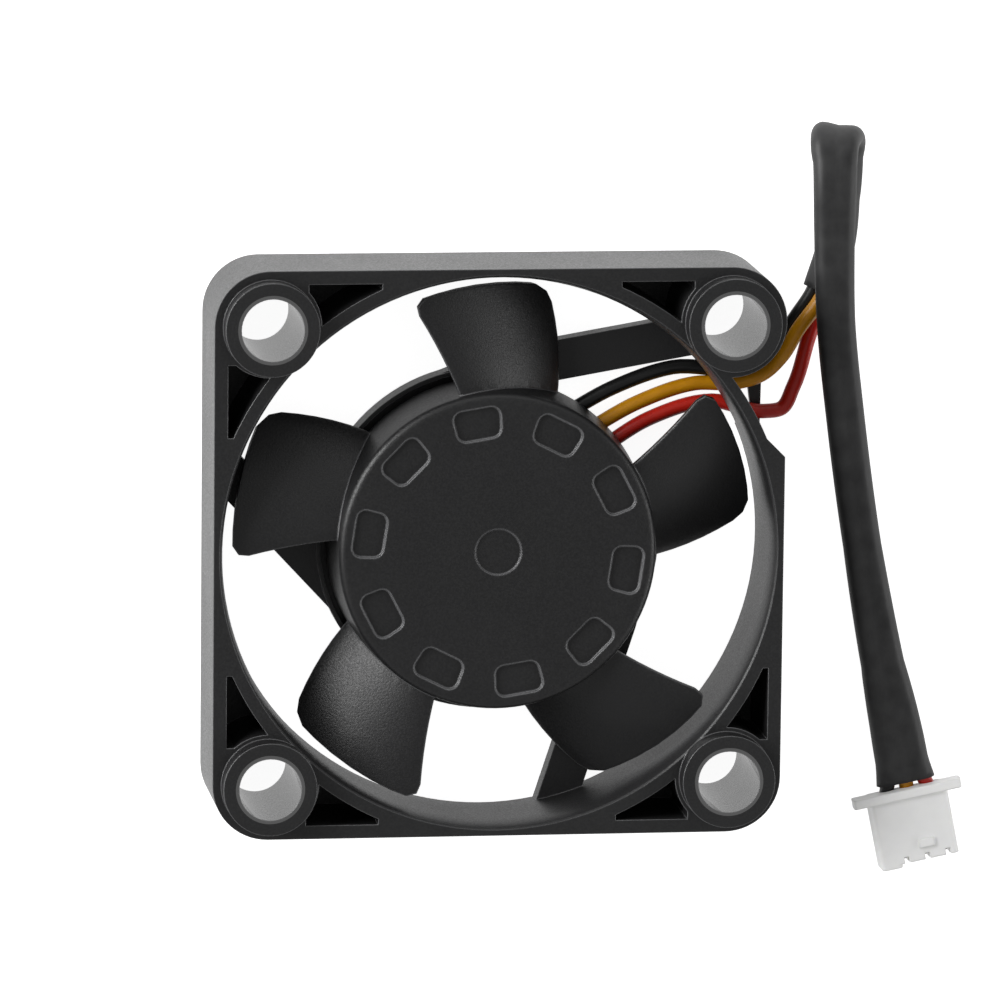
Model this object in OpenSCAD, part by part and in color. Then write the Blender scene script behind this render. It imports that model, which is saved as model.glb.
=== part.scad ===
// Axial cooling fan for a 3-D printer hot end: square housing, external-rotor
// motor on a sleeve bearing, and a short sleeved three-wire lead with its plug.
// Millimetres. The rotor axis is Z, the rear face lies on Z = 0, the inlet is up.

/* [Housing] */
// Width of the square housing
frame_w = 39.7; // [39.2:0.1:41]
// Height of the housing from the rear plane to its front face
frame_h = 8.4; // [8.2:0.1:10]
// Height of the raised rings round the mounting holes
boss_step = 1.6; // [0.4:0.1:2]
// Distance from the centre of a mounting hole to the housing's sides
hole_edge = 3.85; // [3.6:0.05:4.2]
// Diameter of the mounting holes
hole_d = 4.3; // [3.2:0.1:4.5]
// Outer diameter of the raised rings
boss_d = 6.5; // [5.8:0.1:6.8]
// Wall left between the air duct's throat and the middle of each side
duct_edge = 0.75; // [0.6:0.05:1.1]
// How far the inlet lip opens out beyond the throat, on the radius
lip_flare = 0.35; // [0.1:0.05:0.4]
// Height of the inlet lip
lip_h = 2.1; // [1:0.1:3]
// Thickness of the duct wall beside the corner pockets
duct_wall = 1.2; // [0.9:0.05:1.4]
// Thickness of the outer side wall beside the corner pockets
side_wall = 0.95; // [0.6:0.05:1.1]
// Thickness of the floor below the corner pockets
pocket_floor = 1.2; // [0.8:0.1:3]

/* [Motor base] */
// Thickness of the round base plate
base_t = 1.0; // [0.8:0.05:1.3]
// Height of the rim round the base plate, above the plate
rim_h = 0.9; // [0.3:0.05:0.95]
// Thickness of the rim round the base plate
rim_t = 0.3; // [0.25:0.05:0.6]
// Width of the three struts
strut_w = 2.8; // [2:0.1:3.2]
// Height of the three struts
strut_h = 1.6; // [1:0.1:1.7]
// Diameter of the blank label on the rear
label_d = 20.8; // [14:0.1:22]
// Thickness of the label
label_t = 0.1; // [0.05:0.01:0.15]

/* [Impeller] */
// Number of blades
blade_count = 5; // [3:1:7]
// Direction of the first blade, in degrees
blade_start = 21; // [0:1:71]
// Blade thickness
blade_t = 0.8; // [0.5:0.05:1]
// Gap between the blade tips and the duct throat
tip_gap = 0.75; // [0.4:0.05:1.2]
// Diameter of the hub at its front edge
hub_d = 22.2; // [21.6:0.1:23]
// How much wider the hub's radius is at the rear than at the front
hub_draft = 0.3; // [0.1:0.05:0.5]
// Radius of the hub's rounded front edge
hub_round = 0.55; // [0.2:0.05:0.7]
// Thickness of the hub's front wall
hub_plate = 0.9; // [0.7:0.05:1.2]
// Number of shallow balancing pockets in the hub face
pocket_count = 10; // [6:1:12]
// Depth of the balancing pockets
pocket_depth = 0.25; // [0.1:0.05:0.4]
// Diameter of the shallow dimple at the hub's centre
dimple_d = 3.2; // [1:0.1:5]

/* [Motor] */
// Diameter of the shaft
shaft_d = 2.0; // [1.8:0.05:2.2]
// Radial running clearance between the shaft and its bearing
running_fit = 0.02; // [0.01:0.005:0.04]
// Wall thickness of the sleeve bearing
bearing_wall = 1.18; // [0.9:0.02:1.3]
// Wall thickness of the brass bearing tube
tube_wall = 0.4; // [0.3:0.05:0.5]
// Wall thickness of the steel rotor cup
yoke_t = 0.6; // [0.4:0.05:0.7]
// Wall thickness of the ring magnet
magnet_t = 1.2; // [1:0.05:1.4]
// Air gap between the magnet and the stator core
air_gap = 0.3; // [0.25:0.05:0.5]
// Height of the laminated stator core
core_h = 2.2; // [1.8:0.1:2.4]
// Thickness of the stator's plastic insulators
insulator_t = 0.25; // [0.2:0.05:0.35]
// Build-up of the copper windings on each pole
coil_build = 0.55; // [0.3:0.05:0.6]
// Thickness of the circuit board
board_t = 0.6; // [0.5:0.05:0.7]

/* [Lead and plug] */
// Diameter of each insulated lead
lead_d = 1.04; // [0.9:0.02:1.06]
// Diameter of the bare conductor
conductor_d = 0.4; // [0.3:0.05:0.5]
// Wall thickness of the heat-shrink sleeve
sleeve_t = 0.18; // [0.12:0.01:0.2]
// Distance between the plug's contacts
plug_pitch = 1.5; // [1.45:0.01:1.55]
// Width of the plug's body
plug_w = 5.6; // [5.4:0.05:6.4]
// Height of the plug
plug_h = 2.6; // [2.5:0.1:3.2]
// Length of the plug
plug_len = 5.25; // [5:0.05:6.5]
// Width of the flange at the plug's wire end
flange_w = 7.8; // [7:0.05:9]
// Thickness of the flange
flange_t = 0.65; // [0.5:0.05:1]

/* [Hidden] */

$fn = 96;
eps = 0.01;        // overlap that keeps boolean cuts clean
seat = 0.02;       // assembly clearance between pressed or glued pieces
clear = 0.1;       // clearance between loose pieces
run_gap = 0.35;    // gap between turning and standing pieces

black_plastic = [0.09, 0.09, 0.095];
steel = [0.62, 0.63, 0.65];
brass = [0.76, 0.62, 0.33];
copper = [0.72, 0.38, 0.2];

// Housing, from the driving sizes
half_w = frame_w / 2;
hole_spacing = frame_w - 2 * hole_edge;
hole_at = hole_spacing / 2;
corner_r = hole_edge;
duct_d = frame_w - 2 * duct_edge;
duct_r = duct_d / 2;
duct_out = duct_r + duct_wall;
pocket_tip = 0.9;          // blunt end of each corner pocket
notch_low = hole_at - 8.2; // lower edge of the lead outlet
wire_slot_at = 32;         // direction of the slot for the leads in the duct wall
wire_slot_w = 5.8;
rear_flare = 0.12;         // the duct opens out a little towards the rear
rear_flare_h = 2.4;
label_inset = 0.05;        // the label lies this far inside the rear plane

// Rotor radii, worked inwards from the hub
hub_r = hub_d / 2;
skirt_r = hub_r + hub_draft;
yoke_r = hub_r - 0.82;
magnet_r = yoke_r - yoke_t - seat;
magnet_in = magnet_r - magnet_t;
core_r = magnet_in - air_gap;
board_r = core_r + 1.2;
base_r = skirt_r + run_gap + rim_t;
tip_r = duct_r - tip_gap;

// Bearing radii, worked outwards from the shaft
shaft_r = shaft_d / 2;
bearing_in = shaft_r + running_fit;
bearing_r = bearing_in + bearing_wall;
tube_r = bearing_r + tube_wall;
socket_r = tube_r + 0.8;
core_ring = tube_r + 1.4;
pole_w = 2.0;
shoe_t = 0.8;

// Heights of the motor stack, worked upwards from the base plate
ledge_h = 0.15;
board_z = base_t + ledge_h;
board_top = board_z + board_t;
core_z = board_top + 1.05;
core_top = core_z + core_h;
coil_over = insulator_t + coil_build;
yoke_in_z = core_top + coil_over + run_gap;
yoke_top = yoke_in_z + 0.55;
hub_top = yoke_top + hub_plate;
skirt_z = base_t + 1.2;
blade_z = skirt_z + 0.2;
blade_top = hub_top - 1.0;

// Struts: direction in degrees and distance of the strut's centre line from the axis
struts = [[10, 11.4], [133, 10.0], [252, 10.7]];

// Cord: route of the sleeve's centre line, and how far it is pressed flat there. It is
// round at 0, has its three leads side by side at 1, and spreads wider above 1.
sleeve_route = [[23.5, 17.15, 1.45], [24.45, 20.4, 1.45], [24.72, 23.5, 1.45], [24.65, 26.4, 1.5],
    [24.5, 27.6, 1.95], [24.1, 28.1, 2.85], [23.75, 27.65, 3.85], [23.7, 26.4, 4.35], [23.72, 21.5, 4.4],
    [23.95, 15.5, 4.25], [24.9, 8.5, 3.3], [26.5, -0.8, 1.9], [28.2, -9.4, 1.45], [29.2, -13.8, 1.4],
    [30.05, -17.9, 1.35]];
sleeve_flat = [0, 0, 0, 0.2, 0.45, 0.55, 0.35, 0.15, 0.05, 0, 0, 0, 0.15, 0.6, 1.2];
// How far the sleeve is turned about its own line, which brings its flat end level
sleeve_turn = [0, 0, 0, -4, -14, -28, -32, -33, -34, -34, -34, -35, -35, -35, -35];

// Leads between the circuit board and the sleeve: each starts beside the board on a line
// in the common lead direction, at its own distance from the axis
lead_angle = 29;
lead_offsets = [4.84, 3.03, 1.44];
stub_len = 1.3;
black_in = [[8.8, 10.4, 1.25], [13.0, 11.8, 1.25], [17.6, 11.8, 1.1], [20.3, 13.3, 1.05],
    [21.75, 15.3, 1.05]];
yellow_in = [[10.7, 9.4, 1.25], [14.6, 10.65, 1.25], [17.6, 10.68, 1.2], [19.3, 11.25, 1.4],
    [20.6, 12.6, 1.9], [21.66, 14.45, 2.15]];
red_in = [[11.4, 8.2, 1.25], [15.8, 9.4, 1.25], [19.5, 8.6, 1.15], [20.8, 8.8, 1.1],
    [21.6, 10.3, 1.1], [22.85, 14.4, 1.1]];

// Plug: centre of its wire end, direction, and place of the contact row
plug_at = [29.92, -18.3];
plug_angle = -78.5;
body_x = 0.35;             // the body starts this far behind the flange's wire side
body_shift = 0.1;          // sideways place of the body against the flange
row_shift = 0.2;
row_z = plug_h / 2;
lead_depth = 1.5;          // how far the insulated leads reach into the plug

function unit(v) = v / norm(v);
function mix(a, b, t) = a + (b - a) * t;
function plug_y(i) = row_shift + (i - 1) * plug_pitch;
function from_plug(p) = [
    plug_at.x + p.x * cos(plug_angle) - p.y * sin(plug_angle),
    plug_at.y + p.x * sin(plug_angle) + p.y * cos(plug_angle),
    p.z];

// Direction of a route at point i
function heading(path, i) =
    i == 0 ? unit(path[1] - path[0]) :
    i == len(path) - 1 ? unit(path[i] - path[i - 1]) :
    unit(unit(path[i + 1] - path[i]) + unit(path[i] - path[i - 1]));

// Sideways direction at each point of a route, carried along without twist
function sides(path, s, i = 0) =
    i == len(path) ? [] :
    let (t = heading(path, i), n = unit(s - (s * t) * t))
    concat([n], sides(path, n, i + 1));

// The same directions, each turned about the route
function turned(path, across, turn) = [for (i = [0:len(path) - 1])
    across[i] * cos(turn[i]) + cross(heading(path, i), across[i]) * sin(turn[i])];

// One ring of a swept tube: an octagon of half width w and half height h, flats down
function ring(path, across, i, w, h) = [for (k = [0:7])
    let (a = 22.5 + 45 * k, up = cross(heading(path, i), across[i]))
    path[i] + across[i] * w * cos(a) + up * h * sin(a)];

// Side faces between rings of eight points; inner surfaces are turned inside out
function skin(rings, first, inner) = [for (i = [0:rings - 2], k = [0:7])
    let (a = first + 8 * i + k, b = first + 8 * i + (k + 1) % 8)
    each inner ? [[a, b, b + 8], [a, b + 8, a + 8]] : [[a, b + 8, b], [a, a + 8, b + 8]]];

// Polygon rounded at its corners with arcs of radius r
function arc_corner(a, b, c, r) =
    let (u = unit(a - b), v = unit(c - b), half = acos(u * v) / 2,
        o = b + unit(u + v) * r / sin(half),
        p = b + u * r / tan(half) - o, q = b + v * r / tan(half) - o,
        from = atan2(p.y, p.x), turn = (atan2(q.y, q.x) - from + 540) % 360 - 180)
    [for (i = [0:4]) o + r * [cos(from + turn * i / 4), sin(from + turn * i / 4)]];
function rounded(pts, r) = let (n = len(pts))
    [for (i = [0:n - 1]) each arc_corner(pts[(i + n - 1) % n], pts[i], pts[(i + 1) % n], r)];

// Blade edges: front and rear edge angles at the root and at the tip, in degrees
front_edge = [10.7, 16.5];
rear_edge = [-27.5, -15];
root_r = hub_r - 0.35;
tip_round = 1.1;
blade_rows = 6;
blade_cols = 10;

function edge_angle(edge, r) = mix(edge[0], edge[1], (r - hub_r) / (tip_r - hub_r));
function tip_at(t) =
    let (chord = (front_edge[1] - rear_edge[1]) * PI / 180 * tip_r,
        d = min(min(t, 1 - t) * chord, tip_round))
    tip_r - tip_round + sqrt(pow(tip_round, 2) - pow(tip_round - d, 2));
// The blade rises steeply at its rear edge and lies flatter towards its front edge
function blade_rise(t) = mix(blade_z, blade_top, 1 - pow(1 - t, 1.45));
function blade_point(u, t, face) =
    let (r = mix(root_r, tip_at(t), u), step = 0.02,
        angle = mix(edge_angle(rear_edge, r), edge_angle(front_edge, r), t),
        run = (edge_angle(front_edge, r) - edge_angle(rear_edge, r)) * PI / 180 * r * step,
        rise = blade_rise(min(t + step, 1)) - blade_rise(min(t + step, 1) - step),
        half = face * blade_t / 2 * (0.45 + 0.55 * sqrt(max(0, 4 * t * (1 - t)))),
        n = unit([-rise, run]) * half,
        a = angle + n.x / r * 180 / PI)
    [r * cos(a), r * sin(a), blade_rise(t) + n.y + blade_t * 0.25 * (1 - t)];

module at_corners() {
    for (x = [-1, 1], y = [-1, 1])
        translate([x * hole_at, y * hole_at, 0])
            children();
}

module ring_of(outer, inner, h) {
    difference() {
        cylinder(r = outer, h = h);
        translate([0, 0, -eps]) cylinder(r = inner, h = h + 2 * eps);
    }
}

module at_plug() {
    translate([plug_at.x, plug_at.y, 0])
        rotate([0, 0, plug_angle])
            children();
}

// ---------------------------------------------------------------- housing

module outline_2d() {
    square([frame_w - 2 * corner_r, frame_w], center = true);
    square([frame_w, frame_w - 2 * corner_r], center = true);
    for (x = [-1, 1], y = [-1, 1])
        translate([x * hole_at, y * hole_at])
            circle(r = corner_r);
}

// Pocket between the duct, the side wall and a mounting post, on the +X end of the +Y side
module pocket_2d() {
    inner_y = half_w - side_wall;
    start = sqrt(pow(duct_out, 2) - pow(inner_y, 2)) + pocket_tip;
    difference() {
        translate([start, hole_at - 3])
            square([hole_at - boss_d / 2 + 0.6 - start, inner_y - hole_at + 3]);
        circle(r = duct_out);
        translate([hole_at, hole_at])
            circle(r = boss_d / 2 + 0.3);
    }
}

// Seven pockets: the corner with the lead outlet has only one
module pockets() {
    for (turn = [0:3], side = [0, 1])
        if (turn != 0 || side == 0)
            translate([0, 0, pocket_floor])
                linear_extrude(frame_h)
                    rotate(turn * 90)
                        mirror([side, -side])
                            pocket_2d();
}

// Cut-out in the side wall that leaves the duct wall and a round post standing
module outlet_2d() {
    difference() {
        polygon([[hole_at - 3, notch_low], [half_w - 1.25, notch_low], [half_w + 0.55, notch_low - 1.8],
            [half_w + 1, notch_low - 1.8], [half_w + 1, hole_at + 1.5], [hole_at - 3, hole_at + 1.5]]);
        circle(r = duct_out - 0.15);
        translate([hole_at, hole_at])
            circle(r = corner_r);
    }
}

module duct_cut() {
    lip = [for (a = [0:18:90])
        [duct_r + lip_flare * (1 - cos(a)), frame_h - lip_h + lip_h * sin(a)]];
    rotate_extrude()
        polygon(concat([[0, -1], [duct_r + rear_flare, -1], [duct_r + rear_flare, 0],
            [duct_r, rear_flare_h]], lip, [[duct_r + lip_flare, frame_h + 1], [0, frame_h + 1]]));
}

// Strut with its side against the base plate eased into the plate's round edge
module strut(direction, offset) {
    low = offset - strut_w / 2;
    high = offset + strut_w / 2;
    difference() {
        intersection() {
            linear_extrude(strut_h)
                rotate(direction)
                    polygon([[-1, low], [duct_r + 3, low], [duct_r + 3, high], [3, high],
                        [-2.2, base_r - 0.25]]);
            cylinder(r = duct_r + 0.4, h = strut_h);
        }
        translate([0, 0, base_t])
            cylinder(r = base_r - rim_t, h = strut_h);
    }
}

// Opening in the base plate where the leads come out
module base_outlet() {
    rotate(lead_angle)
        translate([board_r - 1.1, -2.6, -eps])
            cube([8, 12.2, 3]);
}

module base() {
    difference() {
        union() {
            cylinder(r = base_r, h = base_t);
            ring_of(base_r, base_r - rim_t, base_t + rim_h);
            ring_of(board_r * 0.72, board_r * 0.66, board_z);
            ring_of(socket_r, tube_r + seat, base_t + 1.0);
        }
        base_outlet();
    }
}

// Thin rear bar across the lead outlet that keeps the leads in
module lead_hook() {
    linear_extrude(0.45)
        difference() {
            polygon([[half_w - 2.6, hole_at - 2.2], [half_w - 1.05, hole_at - 2.2],
                [half_w - 0.4, hole_at - 3.6], [half_w - 0.5, notch_low - 1.0],
                [half_w - 0.9, notch_low - 1.0], [half_w - 1.55, hole_at - 4.2]]);
            translate([hole_at, hole_at])
                circle(d = hole_d);
        }
}

module frame_housing() {
    color(black_plastic)
        difference() {
            union() {
                difference() {
                    linear_extrude(frame_h) outline_2d();
                    duct_cut();
                    pockets();
                    translate([0, 0, -1]) linear_extrude(frame_h + 2) outlet_2d();
                    rotate(wire_slot_at)
                        translate([duct_r - 1, -wire_slot_w / 2, -1])
                            cube([3, wire_slot_w, 3]);
                }
                at_corners() cylinder(d = boss_d, h = frame_h + boss_step);
                lead_hook();
                base();
                for (s = struts) strut(s[0], s[1]);
            }
            at_corners()
                translate([0, 0, -1])
                    cylinder(d = hole_d, h = frame_h + boss_step + 2);
            translate([0, 0, -eps])
                cylinder(d = label_d + 2 * clear, h = label_inset + label_t + eps);
        }
}

module rear_label() {
    color([0.16, 0.16, 0.17])
        translate([0, 0, label_inset])
            cylinder(d = label_d, h = label_t);
}

// ---------------------------------------------------------------- bearing

module bearing_tube() {
    color(brass)
        translate([0, 0, base_t])
            ring_of(tube_r, bearing_r + seat, core_top + 0.35 - base_t);
}

bearing_z = base_t + 1.05;
bearing_top = core_top + 0.1;

module sleeve_bearing() {
    color([0.55, 0.42, 0.28])
        translate([0, 0, bearing_z])
            ring_of(bearing_r, bearing_in, bearing_top - bearing_z);
}

pad_t = 0.2;
module thrust_pad() {
    color([0.85, 0.83, 0.76])
        translate([0, 0, base_t])
            cylinder(r = bearing_r - clear, h = pad_t);
}

// ---------------------------------------------------------------- circuit board

lead_starts = [for (n = lead_offsets)
    let (a = sqrt(pow(board_r + 0.4, 2) - n * n))
    [a * cos(lead_angle) - n * sin(lead_angle), a * sin(lead_angle) + n * cos(lead_angle),
        board_z + 0.1]];

module board_slots(w) {
    for (p = lead_starts)
        translate([p.x, p.y, 0])
            rotate(180 + lead_angle)
                translate([-2, -w / 2, board_z - 1])
                    cube([2 + stub_len, w, board_t + 2]);
}

pin_r = core_ring + 0.7;
pin_d = 0.5;
pin_wall = 0.4;            // insulator left round each pin
module at_pins() {
    for (a = [45:90:315])
        rotate(a)
            translate([pin_r, 0, 0])
                children();
}

module circuit_board() {
    color([0.1, 0.35, 0.2])
        difference() {
            translate([0, 0, board_z]) ring_of(board_r, socket_r + clear, board_t);
            board_slots(0.7);
            at_pins() translate([0, 0, board_z - 1]) cylinder(d = pin_d + 2 * seat, h = 3, $fn = 24);
        }
}

module at_board(angle, r) {
    rotate(angle)
        translate([r, 0, board_top])
            children();
}

module chip(l, w, h) {
    translate([-w / 2, -l / 2, 0])
        cube([w, l, h]);
}

chip_h = 0.9;
module hall_sensor() {
    color([0.12, 0.12, 0.13])
        at_board(135, board_r - 2.2) {
            chip(2.9, 1.6, chip_h);
            for (y = [-0.95, 0.95]) translate([0, y, 0]) chip(0.4, 2.7, 0.2);
        }
}

module driver_chip() {
    color([0.12, 0.12, 0.13])
        at_board(225, board_r - 2.4) {
            chip(3.6, 1.7, chip_h);
            for (y = [-1.27, 0, 1.27]) translate([0, y, 0]) chip(0.4, 3.0, 0.2);
        }
}

module capacitor() {
    color([0.72, 0.55, 0.35])
        at_board(315, board_r - 2.0)
            chip(2.0, 1.2, chip_h);
}

module resistors() {
    color([0.2, 0.2, 0.22])
        for (a = [294, 337])
            at_board(a, board_r - 1.0)
                chip(1.2, 0.7, 0.4);
}

module stub(p, r, extra) {
    translate(p)
        rotate([0, 90, 180 + lead_angle])
            translate([0, 0, -extra])
                cylinder(r = r, h = stub_len + extra, $fn = 24);
}

module solder_joints() {
    color([0.75, 0.76, 0.78]) {
        difference() {
            for (p = lead_starts)
                translate([p.x, p.y, 0])
                    rotate(180 + lead_angle)
                        translate([stub_len - 0.45, 0, 0]) {
                            translate([0, 0, board_z]) cylinder(r = 0.34, h = board_t, $fn = 24);
                            translate([0, 0, board_top]) cylinder(r = 0.6, h = 0.15, $fn = 24);
                        }
            for (p = lead_starts) stub(p, conductor_d / 2, 0);
        }
        at_pins()
            translate([0, 0, board_top])
                ring_of(0.5, pin_d / 2, 0.15, $fn = 24);
    }
}

module terminal_pins() {
    color(brass)
        at_pins()
            translate([0, 0, board_z])
                cylinder(d = pin_d, h = core_z - board_z - seat, $fn = 24);
}

// ---------------------------------------------------------------- stator

ring_over = 0.4;           // the insulators' rings reach this far beyond the core's ring
coil_start = core_ring + ring_over + clear;
coil_end = core_r - shoe_t - insulator_t - 2 * clear;
flange_side = 4.6;         // width of the insulators' end flanges
wrap_h = 0.8;              // height of the insulators' walls beside the poles

module core_2d() {
    difference() {
        union() {
            circle(r = core_ring);
            for (a = [0:90:270])
                rotate(a)
                    translate([0, -pole_w / 2])
                        square([core_r - 0.2, pole_w]);
            difference() {
                circle(r = core_r);
                circle(r = core_r - shoe_t);
                for (a = [45:90:315])
                    rotate(a)
                        translate([0, -1.2])
                            square([core_r + 1, 2.4]);
            }
        }
        circle(r = tube_r + seat);
    }
}

module stator_core() {
    color(steel)
        translate([0, 0, core_z])
            linear_extrude(core_h)
                core_2d();
}

// One insulator half: a ring, four arms that wrap the poles, and four end flanges
module insulator(wrap) {
    ring_of(core_ring + ring_over, tube_r + seat, insulator_t);
    for (a = [0:90:270])
        rotate(a) {
            translate([0, -pole_w / 2 - insulator_t, 0])
                difference() {
                    translate([core_ring, 0, -wrap])
                        cube([coil_end - core_ring, pole_w + 2 * insulator_t, insulator_t + wrap]);
                    translate([core_ring - 1, insulator_t - seat, -wrap - 1])
                        cube([core_r, pole_w + 2 * seat, wrap + 1]);
                }
            translate([coil_end, -flange_side / 2, 0])
                cube([insulator_t, flange_side, coil_over]);
        }
}

module upper_insulator() {
    color([0.92, 0.92, 0.88])
        translate([0, 0, core_top])
            insulator(wrap_h);
}

module lower_insulator() {
    color([0.92, 0.92, 0.88])
        difference() {
            translate([0, 0, core_z])
                mirror([0, 0, 1]) {
                    insulator(wrap_h);
                    at_pins() cylinder(d = pin_d + 2 * pin_wall, h = insulator_t, $fn = 32);
                }
            at_pins()
                translate([0, 0, board_z])
                    cylinder(d = pin_d + 2 * seat, h = core_z - board_z + 1, $fn = 24);
        }
}

module coil_windings() {
    inner_w = pole_w + 2 * insulator_t + 2 * seat;
    inner_h = core_h + 2 * insulator_t + 2 * seat;
    outer = [inner_w / 2 + coil_build - 0.1, inner_h / 2 + coil_build - 2 * seat];
    section = rounded([[outer.x, outer.y], [-outer.x, outer.y], [-outer.x, -outer.y],
        [outer.x, -outer.y]], 0.4);
    color(copper)
        for (a = [0:90:270])
            rotate(a)
                translate([coil_start, 0, core_z + core_h / 2])
                    rotate([90, 0, 90])
                        linear_extrude(coil_end - coil_start - seat)
                            difference() {
                                polygon(section);
                                square([inner_w, inner_h], center = true);
                            }
}

// ---------------------------------------------------------------- rotor

bush_wall = 0.9;
bush_flange = 0.5;         // the bush's flange below the rotor cup, on the radius
bush_r = shaft_r + bush_wall;
bush_z = yoke_in_z - 0.35;
bush_top = yoke_top + 0.25;
groove_z = base_t + 0.75;
groove_h = 0.2;
shaft_z = base_t + pad_t + 0.02;

module hub() {
    skirt_in = yoke_r + seat;
    edge = [for (a = [0:18:90])
        [hub_r - hub_round * (1 - cos(a)), hub_top - hub_round * (1 - sin(a))]];
    difference() {
        rotate_extrude()
            polygon(concat([[skirt_in, skirt_z], [skirt_r, skirt_z]], edge,
                [[0, hub_top], [0, yoke_top + seat], [skirt_in, yoke_top + seat]]));
        cylinder(r = bush_r + seat, h = bush_top + seat);
        translate([0, 0, hub_top - 0.12])
            cylinder(d = dimple_d, h = 1);
        for (i = [0:pocket_count - 1])
            rotate(99.5 - 360 / pocket_count * i)
                translate([0, 0, hub_top - pocket_depth])
                    linear_extrude(1)
                        polygon(balance_pocket);
    }
}

// Rounded wedge, longer on its outer side, centred 2 mm inside the hub's edge
balance_pocket = rounded([for (p = [[1.1, -1.75], [1.1, 1.75], [-1.1, 1.5], [-1.1, -1.5]])
    p + [hub_r - 2.05, 0]], 0.65);

module blade() {
    n = blade_cols + 1;
    sheet = (blade_rows + 1) * n;
    pts = [for (face = [1, -1], i = [0:blade_rows], j = [0:blade_cols])
        blade_point(i / blade_rows, (1 - cos(180 * j / blade_cols)) / 2, face)];
    front = [for (i = [0:blade_rows - 1], j = [0:blade_cols - 1])
        let (a = i * n + j, b = a + 1, c = a + n, d = c + 1)
        each [[a, b, d], [a, d, c]]];
    back = [for (f = front) [f[0] + sheet, f[2] + sheet, f[1] + sheet]];
    ends = [for (j = [0:blade_cols - 1], i = [0, blade_rows])
        let (a = i * n + j, b = a + 1)
        each i == 0 ? [[a, a + sheet, b + sheet], [a, b + sheet, b]]
            : [[a, b + sheet, a + sheet], [a, b, b + sheet]]];
    edges = [for (i = [0:blade_rows - 1], j = [0, blade_cols])
        let (a = i * n + j, c = a + n)
        each j == 0 ? [[a, c + sheet, a + sheet], [a, c, c + sheet]]
            : [[a, a + sheet, c + sheet], [a, c + sheet, c]]];
    polyhedron(points = pts, faces = concat(front, back, ends, edges), convexity = 4);
}

module impeller() {
    color(black_plastic) {
        hub();
        for (i = [0:blade_count - 1])
            rotate(blade_start + 360 / blade_count * i)
                blade();
    }
}

module rotor_yoke() {
    color(steel)
        difference() {
            translate([0, 0, skirt_z + 0.1]) cylinder(r = yoke_r, h = yoke_top - skirt_z - 0.1);
            translate([0, 0, skirt_z - 1]) cylinder(r = yoke_r - yoke_t, h = yoke_in_z - skirt_z + 1);
            cylinder(r = bush_r + seat, h = hub_top);
        }
}

module ring_magnet() {
    color([0.3, 0.28, 0.27])
        translate([0, 0, skirt_z + 0.2])
            ring_of(magnet_r, magnet_in, yoke_in_z - seat - skirt_z - 0.2);
}

module shaft() {
    profile = [[0, shaft_z], [shaft_r - 0.4, shaft_z], [shaft_r - 0.12, shaft_z + 0.1],
        [shaft_r, shaft_z + 0.3], [shaft_r, groove_z], [shaft_r - 0.25, groove_z],
        [shaft_r - 0.25, groove_z + groove_h], [shaft_r, groove_z + groove_h],
        [shaft_r, bush_top - 0.1], [shaft_r - 0.1, bush_top], [0, bush_top]];
    color(steel)
        rotate_extrude() polygon(profile);
}

module shaft_bush() {
    color(brass)
        difference() {
            translate([0, 0, bush_z]) {
                cylinder(r = bush_r, h = bush_top - bush_z);
                cylinder(r = bush_r + bush_flange, h = yoke_in_z - bush_z);
            }
            translate([0, 0, bush_z - 1]) cylinder(r = shaft_r, h = bush_top);
        }
}

module oil_slinger() {
    color([0.85, 0.83, 0.76])
        translate([0, 0, bearing_top + clear])
            ring_of(bearing_r - 0.3, shaft_r, 0.25);
}

module retaining_clip() {
    color(steel)
        translate([0, 0, groove_z + seat])
            difference() {
                ring_of(shaft_r + 0.6, shaft_r - 0.25 + seat, groove_h - 2 * seat);
                translate([0, -0.5, -1]) cube([3, 1.0, 3]);
            }
}

// ---------------------------------------------------------------- leads and plug

sleeve_sides = turned(sleeve_route, sides(sleeve_route, [1, 0, 0]), sleeve_turn);
lead_r = lead_d / 2;

// Leads inside the sleeve, in lead diameters: the middle lead lies below the other two
// where the sleeve is round, and between them where it is flat
function spread(f) = sqrt(pow(1.045, 2) - pow(0.9 * (1 - min(f, 1)), 2)) + max(f - 1, 0);
function lead_place(k, f) = lead_d * [(k - 1) * spread(f), (k == 1 ? -0.6 : 0.3) * (1 - min(f, 1))];
function sleeve_in(f) = lead_d * [spread(f) / cos(22.5) + 0.62, mix(1.2, 0.84, min(f, 1))];

function lead_route(start, between, k) = concat([start], between,
    [for (i = [0:len(sleeve_route) - 1])
        let (o = lead_place(k, sleeve_flat[i]), up = cross(heading(sleeve_route, i), sleeve_sides[i]))
        sleeve_route[i] + sleeve_sides[i] * o.x + up * o.y],
    [from_plug([0.15, plug_y(k), row_z]), from_plug([lead_depth, plug_y(k), row_z])]);

module lead(path) {
    across = sides(path, [0, -1, 0]);
    n = len(path);
    polyhedron(points = [for (i = [0:n - 1]) each ring(path, across, i, lead_r, lead_r)],
        faces = concat(skin(n, 0, false), [[for (k = [0:7]) k], [for (k = [7:-1:0]) 8 * (n - 1) + k]]),
        convexity = 6);
    stub(path[0], conductor_d / 2, 0.2);
}

module crimped_end(k) {
    at_plug()
        translate([lead_depth - 0.1, plug_y(k), row_z])
            rotate([0, 90, 0])
                cylinder(d = conductor_d, h = 0.9, $fn = 24);
}

module black_lead() {
    color([0.06, 0.06, 0.06]) { lead(lead_route(lead_starts[0], black_in, 0)); crimped_end(0); }
}

module yellow_lead() {
    color([0.85, 0.55, 0.02]) { lead(lead_route(lead_starts[1], yellow_in, 1)); crimped_end(1); }
}

module red_lead() {
    color([0.75, 0.12, 0.1]) { lead(lead_route(lead_starts[2], red_in, 2)); crimped_end(2); }
}

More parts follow.
